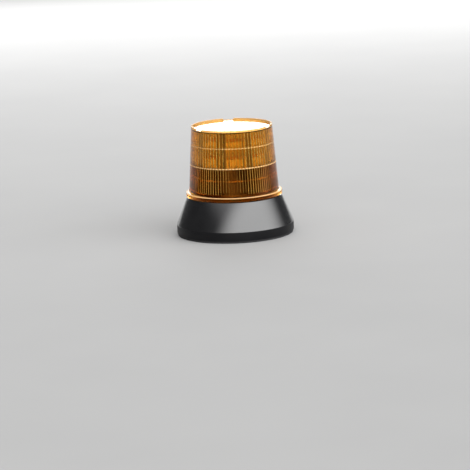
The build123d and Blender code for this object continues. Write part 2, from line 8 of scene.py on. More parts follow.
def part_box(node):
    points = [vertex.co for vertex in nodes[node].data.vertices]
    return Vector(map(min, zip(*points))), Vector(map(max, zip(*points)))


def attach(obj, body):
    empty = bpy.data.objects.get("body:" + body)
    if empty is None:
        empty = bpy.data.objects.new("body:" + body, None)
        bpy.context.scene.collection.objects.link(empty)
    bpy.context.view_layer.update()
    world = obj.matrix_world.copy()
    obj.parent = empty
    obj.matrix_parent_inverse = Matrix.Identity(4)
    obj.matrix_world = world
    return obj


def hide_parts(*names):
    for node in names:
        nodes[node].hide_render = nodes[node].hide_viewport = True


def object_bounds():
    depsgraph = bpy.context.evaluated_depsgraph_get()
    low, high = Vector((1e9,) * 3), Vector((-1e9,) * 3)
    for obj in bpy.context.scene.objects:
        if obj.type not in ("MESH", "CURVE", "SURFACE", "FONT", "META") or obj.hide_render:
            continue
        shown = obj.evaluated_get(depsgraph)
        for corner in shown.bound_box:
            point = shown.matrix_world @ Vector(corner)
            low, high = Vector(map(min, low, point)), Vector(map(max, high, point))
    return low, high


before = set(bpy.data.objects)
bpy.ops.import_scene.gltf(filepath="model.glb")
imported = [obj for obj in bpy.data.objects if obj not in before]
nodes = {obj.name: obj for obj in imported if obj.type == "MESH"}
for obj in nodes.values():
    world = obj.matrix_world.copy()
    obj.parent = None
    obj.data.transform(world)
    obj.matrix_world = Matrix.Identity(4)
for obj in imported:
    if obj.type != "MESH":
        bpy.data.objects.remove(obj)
cad_low, cad_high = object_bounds()


# Camera
# A long lens looks slightly down at the beacon, from a little to its left.
# The picture is tipped by two degrees, as the photograph is.
picture_pixels = 470
picture_scale = 0.0012864
origin_pixel = (235.8, 232.1)
camera_distance = 4.0
camera_azimuth = radians(-4.5)
camera_elevation = radians(11.4)
camera_tilt = radians(-2.3)

camera_data = bpy.data.cameras.new("camera")
camera_data.sensor_width = 36.0
camera_data.lens = camera_data.sensor_width * camera_distance / (picture_pixels * picture_scale)
camera_data.clip_end = 60.0
camera = bpy.data.objects.new("camera", camera_data)
bpy.context.scene.collection.objects.link(camera)
backwards = Vector((
    sin(camera_azimuth) * cos(camera_elevation),
    -cos(camera_azimuth) * cos(camera_elevation),
    sin(camera_elevation),
))
facing = (-backwards).to_track_quat("-Z", "Y").to_matrix() @ Matrix.Rotation(camera_tilt, 3, "Z")
off_centre = Vector((
    (picture_pixels / 2 - origin_pixel[0]) * picture_scale,
    (origin_pixel[1] - picture_pixels / 2) * picture_scale,
    0,
))
camera.matrix_world = facing.to_4x4()
camera.location = backwards * camera_distance + facing @ off_centre
bpy.context.scene.camera = camera
bpy.context.scene.view_settings.view_transform = "Standard"


# Studio light
# A dim surround under a wide soft ceiling, with one large soft box at the front right.
# A low soft box behind gives the lens top its shine. The camera and the clear lens see a white background.
surround_level = 0.08
ceiling_level = 1.3
ceiling_angles = (radians(30), radians(47))
soft_box_level = 4.1
soft_box_azimuth = radians(32)
soft_box_elevation = radians(27)
soft_box_half_width = (radians(24), radians(79))
soft_box_half_height = (radians(12), radians(23))
back_box_level = 6.0
back_box_size = (3.2, 0.55)
back_box_distance = 2.6
back_box_elevation = radians(11.4)

world = bpy.data.worlds.new("studio")
bpy.context.scene.world = world
world.use_nodes = True
tree = world.node_tree
tree.nodes.clear()
direction = tree.nodes.new("ShaderNodeTexCoord").outputs["Generated"]


def toward(axis):
    """How far the direction looked in points along an axis."""
    node = tree.nodes.new("ShaderNodeVectorMath")
    node.operation = "DOT_PRODUCT"
    node.inputs[1].default_value = axis
    tree.links.new(direction, node.inputs[0])
    return node.outputs["Value"]


def soft_edge(value, inputs, outputs):
    """A smooth change between two values of an input."""
    node = tree.nodes.new("ShaderNodeMapRange")
    node.interpolation_type = "SMOOTHSTEP"
    node.inputs["From Min"].default_value, node.inputs["From Max"].default_value = inputs
    node.inputs["To Min"].default_value, node.inputs["To Max"].default_value = outputs
    tree.links.new(value, node.inputs["Value"])
    return node.outputs["Result"]


def work_out(tree, operation, *values):
    """Arithmetic on the sockets and numbers of a node tree."""
    node = tree.nodes.new("ShaderNodeMath")
    node.operation = operation
    for socket, value in zip(node.inputs, values):
        if isinstance(value, (int, float)):
            socket.default_value = value
        else:
            tree.links.new(value, socket)
    return node.outputs["Value"]


box_middle = toward((
    sin(soft_box_azimuth) * cos(soft_box_elevation),
    -cos(soft_box_azimuth) * cos(soft_box_elevation),
    sin(soft_box_elevation),
))
box_upwards = toward((
    -sin(soft_box_azimuth) * sin(soft_box_elevation),
    cos(soft_box_azimuth) * sin(soft_box_elevation),
    cos(soft_box_elevation),
))
across = soft_edge(box_middle, [cos(angle) for angle in reversed(soft_box_half_width)], (0, soft_box_level))
off_middle = work_out(tree, "ABSOLUTE", box_upwards)
upwards = soft_edge(off_middle, [sin(angle) for angle in soft_box_half_height], (1, 0))
ceiling = soft_edge(
    toward((0, 0, 1)), [sin(angle) for angle in ceiling_angles], (surround_level, ceiling_level)
)
surround = tree.nodes.new("ShaderNodeBackground")
soft_box = work_out(tree, "MULTIPLY", across, upwards)
tree.links.new(work_out(tree, "ADD", ceiling, soft_box), surround.inputs["Strength"])
white = tree.nodes.new("ShaderNodeBackground")
white.inputs["Color"].default_value = (1.0, 1.0, 1.0, 1)
seen = tree.nodes.new("ShaderNodeMixShader")
rays = tree.nodes.new("ShaderNodeLightPath").outputs
shown = work_out(tree, "MAXIMUM", rays["Is Camera Ray"], rays["Is Transmission Ray"])
tree.links.new(shown, seen.inputs["Fac"])
tree.links.new(surround.outputs["Background"], seen.inputs[1])
tree.links.new(white.outputs["Background"], seen.inputs[2])
world_output = tree.nodes.new("ShaderNodeOutputWorld")
tree.links.new(seen.outputs["Shader"], world_output.inputs["Surface"])

back_box_data = bpy.data.lights.new("back_box", "AREA")
back_box_data.shape = "RECTANGLE"
back_box_data.size, back_box_data.size_y = back_box_size
back_box_data.energy = back_box_level * pi * back_box_size[0] * back_box_size[1]
back_box = bpy.data.objects.new("back_box", back_box_data)
bpy.context.scene.collection.objects.link(back_box)
back_box_place = Vector((
    -sin(camera_azimuth) * cos(back_box_elevation),
    cos(camera_azimuth) * cos(back_box_elevation),
    sin(back_box_elevation),
)) * back_box_distance
back_box.location = back_box_place + Vector((0, 0, cad_high.z))
back_box.rotation_euler = back_box_place.to_track_quat("Z", "Y").to_euler()
back_box.visible_camera = False


# Floor
# A plain pale matt floor under the gasket. It isn't part of the beacon.
# A little mottling keeps it from looking like a flat colour.
floor_size = 24.0

bpy.ops.object.select_all(action="DESELECT")
bpy.ops.mesh.primitive_plane_add(size=floor_size, location=(0, 0, 0))
floor = bpy.context.object
floor.name = "floor"
floor_material = bpy.data.materials.new("pale_floor")
floor_material.use_nodes = True
floor_shader = floor_material.node_tree.nodes["Principled BSDF"]
floor_shader.inputs["Roughness"].default_value = 0.85
floor_shader.inputs["Specular IOR Level"].default_value = 0.1
floor_noise = floor_material.node_tree.nodes.new("ShaderNodeTexNoise")
floor_noise.inputs["Scale"].default_value = 6.0
floor_place = floor_material.node_tree.nodes.new("ShaderNodeTexCoord")
floor_ramp = floor_material.node_tree.nodes.new("ShaderNodeValToRGB")
floor_ramp.color_ramp.elements[0].color = (0.46, 0.46, 0.46, 1)
floor_ramp.color_ramp.elements[1].color = (0.49, 0.49, 0.487, 1)
floor_material.node_tree.links.new(floor_place.outputs["Object"], floor_noise.inputs["Vector"])
floor_material.node_tree.links.new(floor_noise.outputs["Fac"], floor_ramp.inputs["Fac"])
floor_material.node_tree.links.new(floor_ramp.outputs["Color"], floor_shader.inputs["Base Color"])
floor.data.materials.append(floor_material)


# Mounting gasket
# A flat ring of black rubber, cut from sheet, that seals the underside of the base.
# The mounting bolts squeeze it. The lens seal and the cable grommet are moulded of the same rubber.
def finish_material(name, dark, light, grain, rough, bump=0.0, stretch=(1, 1, 1), metallic=0.0, specular=0.5):
    """A mottled surface: two shades, a grain in metres, a range of roughness and a fine bump."""
    material = bpy.data.materials.new(name)
    material.use_nodes = True
    tree = material.node_tree
    shader = tree.nodes["Principled BSDF"]
    shader.inputs["Metallic"].default_value = metallic
    shader.inputs["Specular IOR Level"].default_value = specular
    place = tree.nodes.new("ShaderNodeTexCoord")
    mapping = tree.nodes.new("ShaderNodeMapping")
    mapping.inputs["Scale"].default_value = stretch
    tree.links.new(place.outputs["Object"], mapping.inputs["Vector"])
    noise = tree.nodes.new("ShaderNodeTexNoise")
    noise.inputs["Scale"].default_value = 1 / grain
    noise.inputs["Detail"].default_value = 4.0
    tree.links.new(mapping.outputs["Vector"], noise.inputs["Vector"])
    shade = tree.nodes.new("ShaderNodeValToRGB")
    shade.color_ramp.elements[0].position = 0.3
    shade.color_ramp.elements[1].position = 0.7
    shade.color_ramp.elements[0].color = (*dark, 1)
    shade.color_ramp.elements[1].color = (*light, 1)
    tree.links.new(noise.outputs["Fac"], shade.inputs["Fac"])
    tree.links.new(shade.outputs["Color"], shader.inputs["Base Color"])
    sheen = tree.nodes.new("ShaderNodeMapRange")
    sheen.inputs["To Min"].default_value, sheen.inputs["To Max"].default_value = rough
    tree.links.new(noise.outputs["Fac"], sheen.inputs["Value"])
    tree.links.new(sheen.outputs["Result"], shader.inputs["Roughness"])
    if bump:
        fine = tree.nodes.new("ShaderNodeTexNoise")
        fine.inputs["Scale"].default_value = 4 / grain
        tree.links.new(mapping.outputs["Vector"], fine.inputs["Vector"])
        relief = tree.nodes.new("ShaderNodeBump")
        relief.inputs["Distance"].default_value = bump
        relief.inputs["Strength"].default_value = 1.0
        tree.links.new(fine.outputs["Fac"], relief.inputs["Height"])
        tree.links.new(relief.outputs["Normal"], shader.inputs["Normal"])
    return material


def dress(node, material):
    """Gives a CAD node its finish."""
    nodes[node].data.materials.clear()
    nodes[node].data.materials.append(material)


gasket_rubber = finish_material(
    "gasket_rubber", (0.016, 0.016, 0.017), (0.034, 0.034, 0.036), grain=0.004, rough=(0.72, 0.9), bump=0.00008
)
for node in ("mounting_gasket", "lens_seal", "cable_grommet"):
    dress(node, gasket_rubber)


# Base housing
# The black cone that carries everything: upright rim, sloped skirt, deck and bayonet collar.
# It is injection moulded in one piece, glossy on the skirt and duller on the upright rim.
base_columns = 256
base_low, base_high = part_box("base_housing")
base_radius = base_high.y
base_bottom = base_low.z
rim_top = base_bottom + 0.0115
deck_top = base_high.z - 0.0080
deck_radius = base_radius - 0.0145
collar_outer, collar_inner = 0.0540, 0.0480
seal_groove = (0.0589, 0.0561)
seal_groove_depth = 0.0020
deck_hole = 0.0100
deck_underside = deck_top - 0.0040
inner_wall_foot = base_radius - 0.0030
inner_wall_low = base_radius - 0.0033
inner_wall_high = deck_radius - 0.0017
floor_top = base_bottom + 0.0055
cover_seat = base_bottom + 0.0025
cover_opening = (0.0540, 0.0565)
base_profile = [
    (cover_opening[1], base_bottom),
    (base_radius, base_bottom),
    (base_radius, rim_top),
    (deck_radius, deck_top),
    (seal_groove[0], deck_top),
    (seal_groove[0], deck_top - seal_groove_depth),
    (seal_groove[1], deck_top - seal_groove_depth),
    (seal_groove[1], deck_top),
    (collar_outer, deck_top),
    (collar_outer, base_high.z),
    (collar_inner, base_high.z),
    (collar_inner, deck_top),
    (deck_hole, deck_top),
    (deck_hole, deck_underside),
    (inner_wall_high, deck_underside),
    (inner_wall_low, rim_top),
    (inner_wall_foot, floor_top),
    (cover_opening[0], floor_top),
    (cover_opening[0], cover_seat),
    (cover_opening[1], cover_seat),
    (cover_opening[1], base_bottom),
]
base_rounds = [
    ((base_radius, base_bottom), 0.0008),
    ((base_radius, rim_top), 0.0006),
    ((deck_radius, deck_top), 0.0010),
]
base_smooth_angle = 30
plug_columns = 48
merge_distance = 0.000002
ring_slack = 0.00005
half_wall = 0.0016
overlap = 0.0010
feature_top = deck_underside + overlap
bolt_circle, bolt_angles = 0.0650, (90, 210, 330)
boss_radius, boss_top = 0.0080, base_bottom + 0.0140
insert_radius, insert_top = 0.00505, base_bottom + 0.0118
cover_circle, cover_angles = 0.0498, (45, 135, 225, 315)
cover_post_radius, cover_pilot_radius, cover_pilot_top = 0.0042, 0.00155, cover_seat + 0.0120
board_circle, board_angles = 0.0380, (67.5, 157.5, 247.5, 337.5)
board_post_radius, board_post_bottom = 0.0038, deck_underside - 0.0194
board_pilot_radius, board_pilot_top = 0.00145, deck_underside - 0.0094
drum_circle, drum_angles = 0.0338, (22.5, 112.5, 202.5, 292.5)
drum_screw_radius = 0.0022
web_thickness = 0.0020
web_bottom = cover_seat + 0.0001
gusset_bottom, gusset_reach, gusset_spacing = deck_underside - 0.0140, 0.0102, 30
track_inner, track_outer = 0.0513, 0.0562
track_bottom, track_top = deck_top + 0.0017, deck_top + 0.0053
track_angles, entry_angles = (-8.4, 38.4), (21.6, 38.4)
entry_step = 0.0002
quarter_turns = (0, 90, 180, 270)


def begin(name, columns, radius, height):
    """Starts a turned piece as one open ring, left in edit mode."""
    bpy.ops.object.select_all(action="DESELECT")
    bpy.ops.mesh.primitive_circle_add(vertices=columns, radius=radius, location=(0, 0, 0))
    piece = bpy.context.object
    piece.name = name
    piece.data.name = name
    bpy.ops.object.mode_set(mode="EDIT")
    bpy.ops.mesh.select_mode(type="VERT")
    bpy.ops.mesh.select_all(action="SELECT")
    bpy.ops.transform.translate(value=(0, 0, height))
    return piece


def draw_ring(start, end):
    """Pulls the selected ring from one radius and height to the next."""
    bpy.ops.mesh.extrude_region_move(TRANSFORM_OT_translate={"value": (0, 0, end[1] - start[1])})
    share = end[0] / start[0]
    bpy.ops.transform.resize(value=(share, share, 1), center_override=(0, 0, 0))


def turn_profile(profile):
    """Draws one ring through every corner of a profile."""
    for start, end in zip(profile, profile[1:]):
        draw_ring(start, end)


def pick(kind, wanted):
    """Selects the edit mesh's verts, edges or faces that a rule names, and nothing else."""
    bpy.ops.mesh.select_all(action="DESELECT")
    bpy.ops.mesh.select_mode(type={"verts": "VERT", "edges": "EDGE", "faces": "FACE"}[kind])
    mesh = bmesh.from_edit_mesh(bpy.context.object.data)
    for element in getattr(mesh, kind):
        if wanted(element):
            element.select_set(True)
    mesh.select_flush_mode()
    bmesh.update_edit_mesh(bpy.context.object.data)


def on_ring(vert, radius, height):
    """True where a vertex lies on the ring of that radius and height."""
    return abs(hypot(vert.co.x, vert.co.y) - radius) < ring_slack and abs(vert.co.z - height) < ring_slack


def round_rings(rounds, segments=4):
    """Rounds the edge rings of a turned piece."""
    for (radius, height), amount in rounds:
        pick("edges", lambda edge: all(on_ring(vert, radius, height) for vert in edge.verts))
        bpy.ops.mesh.bevel(offset=amount, segments=segments, affect="EDGES")


def close_piece(smooth_angle):
    """Merges the seams, turns the faces outwards, leaves edit mode and smooths the shading."""
    bpy.ops.mesh.select_all(action="SELECT")
    bpy.ops.mesh.remove_doubles(threshold=merge_distance)
    bpy.ops.mesh.normals_make_consistent(inside=False)
    bpy.ops.object.mode_set(mode="OBJECT")
    bpy.ops.object.shade_smooth_by_angle(angle=radians(smooth_angle))


def outer_wall(height):
    """Outer radius of the cone at a height."""
    return base_radius - (height - rim_top) * (base_radius - deck_radius) / (deck_top - rim_top)


def add_plugs(radius, bottom, top, distance, angles):
    """Round plugs at one distance from the middle, standing at each of the angles."""
    plugs = []
    for angle in angles:
        bpy.ops.object.select_all(action="DESELECT")
        bpy.ops.mesh.primitive_cylinder_add(vertices=plug_columns, radius=radius, depth=top - bottom, location=(
            distance * cos(radians(angle)), distance * sin(radians(angle)), (bottom + top) / 2
        ))
        plugs.append(bpy.context.object)
    return plugs


def add_web(inner, bottom, top, slope_to=None):
    """An upright plate along +X, trimmed in the middle of the cone's wall and, for a gusset, along its slope."""
    bpy.ops.object.select_all(action="DESELECT")
    bpy.ops.mesh.primitive_cube_add(size=1, location=(0, 0, 0))
    bpy.ops.object.mode_set(mode="EDIT")
    bpy.ops.mesh.select_all(action="SELECT")
    bpy.ops.transform.resize(value=(base_radius - inner, web_thickness, top - bottom))
    bpy.ops.transform.translate(value=((base_radius + inner) / 2, 0, (top + bottom) / 2))
    cuts = [
        ((base_radius - half_wall, 0, 0), (1, 0, 0)),
        ((outer_wall(top) - half_wall, 0, top), (deck_top - rim_top, 0, base_radius - deck_radius)),
    ]
    if slope_to:
        slope = (bottom - slope_to, 0, inner - outer_wall(bottom) + 2 * half_wall)
        cuts.append(((inner, 0, slope_to), slope))
    for place, normal in cuts:
        bpy.ops.mesh.select_all(action="SELECT")
        bpy.ops.mesh.bisect(plane_co=place, plane_no=normal, use_fill=True, clear_outer=True)
    bpy.ops.object.mode_set(mode="OBJECT")
    return bpy.context.object


def add_track(start, end, bottom, top):
    """A bar bent round the middle, as wide as the path of a lens lug."""
    bpy.ops.object.select_all(action="DESELECT")
    bpy.ops.mesh.primitive_plane_add(size=1, location=(0, 0, 0))
    bpy.ops.object.mode_set(mode="EDIT")
    bpy.ops.mesh.select_all(action="SELECT")
    bpy.ops.transform.resize(value=(track_outer - track_inner, top - bottom, 1))
    bpy.ops.transform.rotate(value=radians(90), orient_axis="X", center_override=(0, 0, 0))
    bpy.ops.transform.translate(value=((track_outer + track_inner) / 2, 0, (top + bottom) / 2))
    bpy.ops.transform.rotate(value=radians(-start), orient_axis="Z", center_override=(0, 0, 0))
    bpy.ops.mesh.spin(steps=round(end - start), angle=radians(end - start), center=(0, 0, 0), axis=(0, 0, 1))
    bpy.ops.mesh.select_all(action="SELECT")
    bpy.ops.mesh.normals_make_consistent(inside=False)
    bpy.ops.object.mode_set(mode="OBJECT")
    return bpy.context.object


def turned_copies(feature, angles):
    """Copies of a feature, each turned round the middle. The feature itself is taken away."""
    copies = []
    for angle in angles:
        copy = feature.copy()
        copy.data = feature.data.copy()
        bpy.context.scene.collection.objects.link(copy)
        copy.data.transform(Matrix.Rotation(radians(angle), 4, "Z"))
        copies.append(copy)
    bpy.data.objects.remove(feature)
    return copies


def combine_with(piece, tools, operation):
    """Joins the tools into one and adds them to a piece, or cuts them out of it."""
    bpy.ops.object.select_all(action="DESELECT")
    for tool in tools:
        tool.select_set(True)
    bpy.context.view_layer.objects.active = tools[0]
    bpy.ops.object.join()
    bpy.ops.object.select_all(action="DESELECT")
    piece.select_set(True)
    bpy.context.view_layer.objects.active = piece
    modifier = piece.modifiers.new(operation.lower(), "BOOLEAN")
    modifier.operation = operation
    modifier.solver = "EXACT"
    modifier.use_self = True
    modifier.object = tools[0]
    bpy.ops.object.modifier_apply(modifier=modifier.name)
    bpy.data.objects.remove(tools[0])


base_piece = begin("base_housing_skin", base_columns, *base_profile[0])
turn_profile(base_profile)
round_rings(base_rounds)
close_piece(base_smooth_angle)

combine_with(
    base_piece,
    add_plugs(boss_radius, cover_seat, boss_top, bolt_circle, bolt_angles)
    + add_plugs(cover_post_radius, cover_seat, feature_top, cover_circle, cover_angles)
    + add_plugs(board_post_radius, board_post_bottom, feature_top, board_circle, board_angles)
    + turned_copies(add_web(cover_circle, web_bottom, feature_top), cover_angles)
    + turned_copies(
        add_web(outer_wall(deck_underside) - gusset_reach, gusset_bottom, feature_top, deck_underside),
        range(0, 360, gusset_spacing),
    ),
    "UNION",
)
combine_with(
    base_piece,
    add_plugs(insert_radius, base_bottom - overlap, insert_top, bolt_circle, bolt_angles)
    + add_plugs(cover_pilot_radius, cover_seat - overlap, cover_pilot_top, cover_circle, cover_angles)
    + add_plugs(board_pilot_radius, board_post_bottom - overlap, board_pilot_top, board_circle, board_angles)
    + add_plugs(drum_screw_radius, deck_underside - overlap, deck_top + overlap, drum_circle, drum_angles)
    + turned_copies(add_track(*track_angles, track_bottom, track_top), quarter_turns)
    + turned_copies(add_track(*entry_angles, track_bottom + entry_step, base_high.z + overlap), quarter_turns),
    "DIFFERENCE",
)
bpy.ops.object.shade_smooth_by_angle(angle=radians(base_smooth_angle))

base_black = finish_material(
    "base_black", (0.004, 0.004, 0.005), (0.008, 0.008, 0.009),
    grain=0.02, rough=(0.20, 0.28), bump=0.00001, specular=1.0,
)
base_shader = base_black.node_tree.nodes["Principled BSDF"]
base_shader.inputs["Coat Weight"].default_value = 0.8
base_shader.inputs["Coat Roughness"].default_value = 0.16
base_piece.data.materials.append(base_black)
rim_black = finish_material(
    "rim_black", (0.003, 0.003, 0.004), (0.006, 0.006, 0.007),
    grain=0.02, rough=(0.42, 0.5), bump=0.00002, specular=0.2,
)
rim_depth = 0.0015
base_piece.data.materials.append(rim_black)
for face in base_piece.data.polygons:
    if face.center.z < rim_top and hypot(face.center.x, face.center.y) > base_radius - rim_depth:
        face.material_index = 1
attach(base_piece, "base")
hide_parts("base_housing")


# Threaded inserts
# Three turned brass bushes with an M8 thread, pressed into bosses under the rim.
# The mounting bolts screw into them from below.
dress("threaded_inserts", finish_material(
    "insert_brass", (0.62, 0.43, 0.17), (0.78, 0.58, 0.28),
    grain=0.002, rough=(0.25, 0.4), bump=0.00002, stretch=(1, 1, 6), metallic=1.0,
))


# Bottom cover, its screws, the vent and the small black mouldings
# The round cover closes the base from below and carries the cable grommet and the vent.
# Cover, vent, drum, carrier and sockets are all matt black mouldings.
inner_black = finish_material(
    "inner_black", (0.012, 0.012, 0.013), (0.022, 0.022, 0.024),
    grain=0.003, rough=(0.55, 0.7), bump=0.00003, specular=0.3,
)
for node in ("bottom_cover", "breather_vent", "pedestal_drum", "board_sockets", "tower_carrier"):
    dress(node, inner_black)
screw_steel = finish_material(
    "screw_steel", (0.52, 0.53, 0.54), (0.68, 0.69, 0.70),
    grain=0.0015, rough=(0.28, 0.42), bump=0.00001, metallic=1.0,
)
for node in ("bottom_cover_screws", "board_screws", "pedestal_screws", "tower_screws"):
    dress(node, screw_steel)


# Circuit boards
# Driver board and link board are glass-fibre laminate under green solder mask.
# Their sawn edges show the laminate, and the link board's edge has a pale patch under each facet of the tower.
track_pitch = 180.0
track_width = 0.05
mask_shade = 0.85
sawn_limit = 0.5
facets = 8.0
patch_share = 0.3
laminate = (0.16, 0.14, 0.10)
pale_patch = (0.9, 0.88, 0.8)


def board_material(name, mask, track, edge, patch):
    """Solder mask with tracks on the faces; laminate on the sawn edges, with a pale patch under each facet."""
    material = bpy.data.materials.new(name)
    material.use_nodes = True
    tree = material.node_tree
    shader = tree.nodes["Principled BSDF"]
    shader.inputs["Roughness"].default_value = 0.34
    place = tree.nodes.new("ShaderNodeTexCoord")
    tracks = tree.nodes.new("ShaderNodeTexBrick")
    tracks.inputs["Scale"].default_value = track_pitch
    tracks.inputs["Mortar Size"].default_value = track_width
    tracks.inputs["Color1"].default_value = (*mask, 1)
    tracks.inputs["Color2"].default_value = (*[share * mask_shade for share in mask], 1)
    tracks.inputs["Mortar"].default_value = (*track, 1)
    tree.links.new(place.outputs["Object"], tracks.inputs["Vector"])
    shape = tree.nodes.new("ShaderNodeNewGeometry")
    parts = tree.nodes.new("ShaderNodeSeparateXYZ")
    tree.links.new(shape.outputs["Normal"], parts.inputs["Vector"])
    sawn = work_out(tree, "LESS_THAN", work_out(tree, "ABSOLUTE", parts.outputs["Z"]), sawn_limit)
    mix = tree.nodes.new("ShaderNodeMix")
    mix.data_type = "RGBA"
    tree.links.new(sawn, mix.inputs["Factor"])
    tree.links.new(tracks.outputs["Color"], mix.inputs["A"])
    corners = tree.nodes.new("ShaderNodeSeparateXYZ")
    tree.links.new(place.outputs["Object"], corners.inputs["Vector"])
    # A pale patch on the sawn edge under each facet of the tower.
    turn = work_out(tree, "ARCTAN2", corners.outputs["Y"], corners.outputs["X"])
    across_patches = work_out(tree, "COSINE", work_out(tree, "MULTIPLY", turn, facets))
    on_patch = work_out(tree, "GREATER_THAN", across_patches, patch_share)
    edge_mix = tree.nodes.new("ShaderNodeMix")
    edge_mix.data_type = "RGBA"
    edge_mix.inputs["A"].default_value = (*edge, 1)
    edge_mix.inputs["B"].default_value = (*patch, 1)
    tree.links.new(on_patch, edge_mix.inputs["Factor"])
    tree.links.new(edge_mix.outputs["Result"], mix.inputs["B"])
    tree.links.new(mix.outputs["Result"], shader.inputs["Base Color"])
    return material


dress("driver_board", board_material(
    "driver_board_green", (0.03, 0.16, 0.07), (0.06, 0.26, 0.12), laminate, laminate
))
dress("link_board", board_material("link_board_green", (0.02, 0.10, 0.05), (0.04, 0.16, 0.08), laminate, pale_patch))


# Parts on the driver board
# Capacitors, inductors, converter chips and the supply terminals, soldered to its underside.
# Two insulated wires lead the power up through the deck.
dress("board_capacitors", finish_material(
    "can_aluminium", (0.50, 0.51, 0.54), (0.62, 0.63, 0.66), grain=0.002, rough=(0.3, 0.45), metallic=1.0
))
dress("board_inductors", finish_material(
    "coil_ferrite", (0.20, 0.075, 0.03), (0.42, 0.17, 0.07),
    grain=0.0012, rough=(0.35, 0.5), bump=0.0001, stretch=(1, 1, 0.1),
))
dress("board_chips", finish_material(
    "chip_black", (0.02, 0.02, 0.02), (0.035, 0.035, 0.035), grain=0.0008, rough=(0.5, 0.6), bump=0.00002
))
dress("terminal_block", finish_material(
    "terminal_green", (0.05, 0.30, 0.14), (0.09, 0.40, 0.21), grain=0.003, rough=(0.4, 0.5), bump=0.00002
))
dress("supply_leads", finish_material(
    "lead_red", (0.45, 0.03, 0.03), (0.60, 0.07, 0.05), grain=0.003, rough=(0.45, 0.55)
))


# LED tower
# An octagonal black anodised extrusion with a cooling fin at each corner and a cap on top.
# Its drawn lines run up and down.
tower_black = finish_material(
    "tower_black", (0.20, 0.20, 0.205), (0.32, 0.32, 0.325),
    grain=0.002, rough=(0.34, 0.5), bump=0.00002, stretch=(1, 1, 0.04), metallic=0.6,
)
for node in ("tower_core", "tower_cap"):
    dress(node, tower_black)


# LED boards and their LEDs
# One narrow board on each facet, with white solder mask, and a row of four LEDs in each tier.
# The LEDs are small square packages under a yellow converter.
board_white = finish_material(
    "board_white", (0.74, 0.75, 0.72), (0.84, 0.85, 0.82), grain=0.004, rough=(0.35, 0.5), bump=0.00001
)
led_amber = finish_material(
    "led_amber", (0.78, 0.36, 0.03), (0.92, 0.55, 0.08), grain=0.0012, rough=(0.25, 0.4), bump=0.00002
)
for number in range(1, 9):
    dress(f"led_board_{number}", board_white)
    dress(f"leds_{number}", led_amber)


# Reflectors
# One bright moulding on each facet, with a curved trough round each row of LEDs.
# Each is moulded plastic, metallised in vacuum, and pegged to its LED board.
reflector_low, reflector_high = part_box("reflector_3")
reflector_back = 0.0305
reflector_front = reflector_high.x
reflector_width = reflector_high.y - reflector_low.y
reflector_end_wall = 0.0010
reflector_bottom, reflector_top = reflector_low.z, reflector_high.z
reflector_split = reflector_bottom + 0.0250
reflector_lip = 0.0008
reflector_window = 0.0046
reflector_back_wall = 0.0012
cap_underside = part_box("tower_cap")[0].z
cap_step = 0.0343
peg_columns = 24
peg_radius = 0.0012
peg_length = 0.0013
peg_distance = 0.0080
trough_length = reflector_width - 2 * reflector_end_wall
trough_depth = reflector_front - reflector_back - reflector_back_wall
trough_steps = 12
trough_fullness = 0.72
window_overlap = 0.0001
reflector_smooth_angle = 35
facing_limit = 0.9


def trough_half_height(share, half_opening):
    """Half the height of the trough at a share of its depth, from the window to the lip."""
    half_window = reflector_window / 2
    middle = half_window + (half_opening - half_window) * trough_fullness
    # A parabola through window, middle and lip stands for the moulded arc.
    bend = 2 * (half_window + half_opening) - 4 * middle
    lean = half_opening - half_window - bend
    return half_window + lean * share + bend * share * share


def make_reflector():
    """One reflector on the facet that faces +X."""
    bpy.ops.object.select_all(action="DESELECT")
    bpy.ops.mesh.primitive_cube_add(size=1, location=(0, 0, 0))
    piece = bpy.context.object
    bpy.ops.object.mode_set(mode="EDIT")
    bpy.ops.mesh.select_all(action="SELECT")
    bpy.ops.transform.resize(value=(
        reflector_front - reflector_back, reflector_width, reflector_top - reflector_bottom
    ))
    bpy.ops.transform.translate(value=(
        (reflector_front + reflector_back) / 2, 0, (reflector_top + reflector_bottom) / 2
    ))
    bpy.ops.mesh.bisect(plane_co=(0, 0, reflector_split), plane_no=(0, 0, 1))
    tiers = [(reflector_bottom, reflector_split), (reflector_split, reflector_top)]
    for low, high in tiers:
        middle = (low + high) / 2
        half_opening = (high - low) / 2 - reflector_lip
        pick("faces", lambda face: face.normal.x > facing_limit and low < face.calc_center_median().z < high)
        bpy.ops.mesh.inset(thickness=reflector_lip)
        share = trough_length / (reflector_width - 2 * reflector_lip)
        bpy.ops.transform.resize(value=(1, share, 1), center_override=(reflector_front, 0, middle))
        height = half_opening
        for step in range(1, trough_steps + 1):
            inwards = (-trough_depth / trough_steps, 0, 0)
            bpy.ops.mesh.extrude_region_move(TRANSFORM_OT_translate={"value": inwards})
            new_height = trough_half_height(1 - step / trough_steps, half_opening)
            bpy.ops.transform.resize(
                value=(1, 1, new_height / height), center_override=(reflector_front, 0, middle)
            )
            height = new_height
    close_piece(reflector_smooth_angle)
    hollows = [(reflector_top, 2 * reflector_width, 2 * (reflector_top - cap_underside), cap_step)]
    for low, high in tiers:
        window_front = reflector_back + reflector_back_wall + window_overlap
        hollows.append(((low + high) / 2, trough_length, reflector_window, window_front))
    cutters = []
    for middle, width, height, front in hollows:
        bpy.ops.object.select_all(action="DESELECT")
        bpy.ops.mesh.primitive_cube_add(
            size=1, location=(reflector_back, 0, middle), scale=(2 * (front - reflector_back), width, height)
        )
        cutters.append(bpy.context.object)
    combine_with(piece, cutters, "DIFFERENCE")
    pegs = []
    for side in (-1, 1):
        bpy.ops.object.select_all(action="DESELECT")
        bpy.ops.mesh.primitive_cylinder_add(
            vertices=peg_columns, radius=peg_radius, depth=2 * peg_length, rotation=(0, radians(90), 0),
            location=(reflector_back, side * peg_distance, reflector_split),
        )
        pegs.append(bpy.context.object)
    combine_with(piece, pegs, "UNION")
    bpy.ops.object.shade_smooth_by_angle(angle=radians(reflector_smooth_angle))
    return piece


